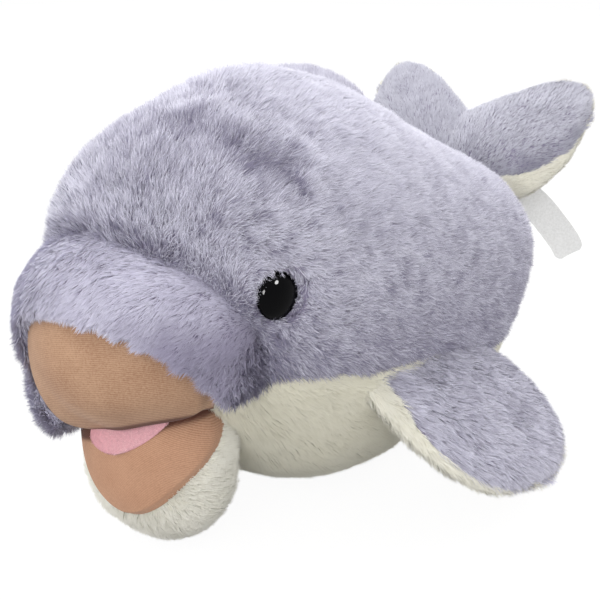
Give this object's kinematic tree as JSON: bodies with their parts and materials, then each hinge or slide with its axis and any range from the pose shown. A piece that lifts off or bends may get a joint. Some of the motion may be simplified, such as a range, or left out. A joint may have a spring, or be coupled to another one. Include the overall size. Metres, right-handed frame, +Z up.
{
  "type": "plush dolphin",
  "caption": "Stuffed plush dolphin lying on its belly: lavender back, white belly, open lined mouth with tongue, plastic eyes, flopped fin, flippers, raised flukes.",
  "frame": {"origin": "on the floor under the middle of the bounding box", "axes": "+Z up, snout towards -Y, flukes towards +Y, the dolphin's left side towards +X"},
  "size_m": [0.3016, 0.3992, 0.2241],
  "materials": {
    "lavender_plush": "short pile plush, lavender grey",
    "white_plush": "short pile plush, off white",
    "mouth_lining": "brushed knit, peach",
    "tongue_plush": "short pile plush, pink",
    "polyester_fill": "loose polyester fibre fill",
    "eye_plastic": "polished black",
    "washer_plastic": "plain moulded",
    "label_cloth": "woven tape, blank"
  },
  "bodies": {
    "torso": {"body_stuffing": "polyester_fill", "back_panel_left": "lavender_plush", "back_panel_right": "lavender_plush", "belly_panel": "white_plush", "eye_left": "eye_plastic", "eye_right": "eye_plastic", "eye_washer_left": "washer_plastic", "eye_washer_right": "washer_plastic", "snout_panel": "lavender_plush", "palate_lining": "mouth_lining", "snout_stuffing": "polyester_fill"},
    "jaw": {"jaw_panel": "white_plush", "jaw_lining": "mouth_lining", "jaw_stuffing": "polyester_fill"},
    "tongue": {"tongue": "tongue_plush"},
    "dorsal_fin": {"dorsal_fin_left_panel": "lavender_plush", "dorsal_fin_right_panel": "lavender_plush", "dorsal_fin_stuffing": "polyester_fill"},
    "flipper_left": {"flipper_left_top_panel": "lavender_plush", "flipper_left_under_panel": "white_plush", "flipper_left_stuffing": "polyester_fill"},
    "flipper_right": {"flipper_right_top_panel": "lavender_plush", "flipper_right_under_panel": "white_plush", "flipper_right_stuffing": "polyester_fill"},
    "tail": {"tail_top_panel": "lavender_plush", "tail_under_panel": "white_plush", "tail_stuffing": "polyester_fill"},
    "flukes": {"fluke_top_panel": "lavender_plush", "fluke_under_panel": "white_plush", "fluke_stuffing": "polyester_fill"},
    "care_label": {"care_label": "label_cloth"}
  },
  "joints": [
    {"name": "jaw_close", "type": "hinge", "parent": "torso", "child": "jaw", "pos_m": [0, -0.12957, 0.08], "axis": [-1, 0, 0], "range_deg": [0, 6], "stiffness_Nm_per_rad": 0.4},
    {"name": "tongue_lift", "type": "hinge", "parent": "jaw", "child": "tongue", "pos_m": [0.01, -0.16207, 0.072], "axis": [-1, 0, 0], "range_deg": [0, 20], "stiffness_Nm_per_rad": 0.002},
    {"name": "fin_raise", "type": "hinge", "parent": "torso", "child": "dorsal_fin", "pos_m": [0, -0.02857, 0.21], "axis": [0, 1, 0], "range_deg": [0, 30], "stiffness_Nm_per_rad": 0.05},
    {"name": "flipper_left_lift", "type": "hinge", "parent": "torso", "child": "flipper_left", "pos_m": [0.09, -0.02157, 0.074], "axis": [0, -1, 0], "range_deg": [0, 14], "stiffness_Nm_per_rad": 0.3},
    {"name": "flipper_right_lift", "type": "hinge", "parent": "torso", "child": "flipper_right", "pos_m": [-0.09, -0.02157, 0.074], "axis": [0, 1, 0], "range_deg": [0, 14], "stiffness_Nm_per_rad": 0.3},
    {"name": "tail_bend", "type": "hinge", "parent": "torso", "child": "tail", "pos_m": [0, 0.13443, 0.124], "axis": [1, 0, 0], "range_deg": [-6, 6], "stiffness_Nm_per_rad": 4},
    {"name": "fluke_flap", "type": "hinge", "parent": "tail", "child": "flukes", "pos_m": [0, 0.14143, 0.141], "axis": [1, 0, 0], "range_deg": [-8, 8], "stiffness_Nm_per_rad": 3},
    {"name": "label_swing", "type": "hinge", "parent": "flukes", "child": "care_label", "pos_m": [0.027, 0.15043, 0.138], "axis": [0.0076, -0.3916, -0.9201], "range_deg": [-10, 10], "stiffness_Nm_per_rad": 0.005}
  ]
}
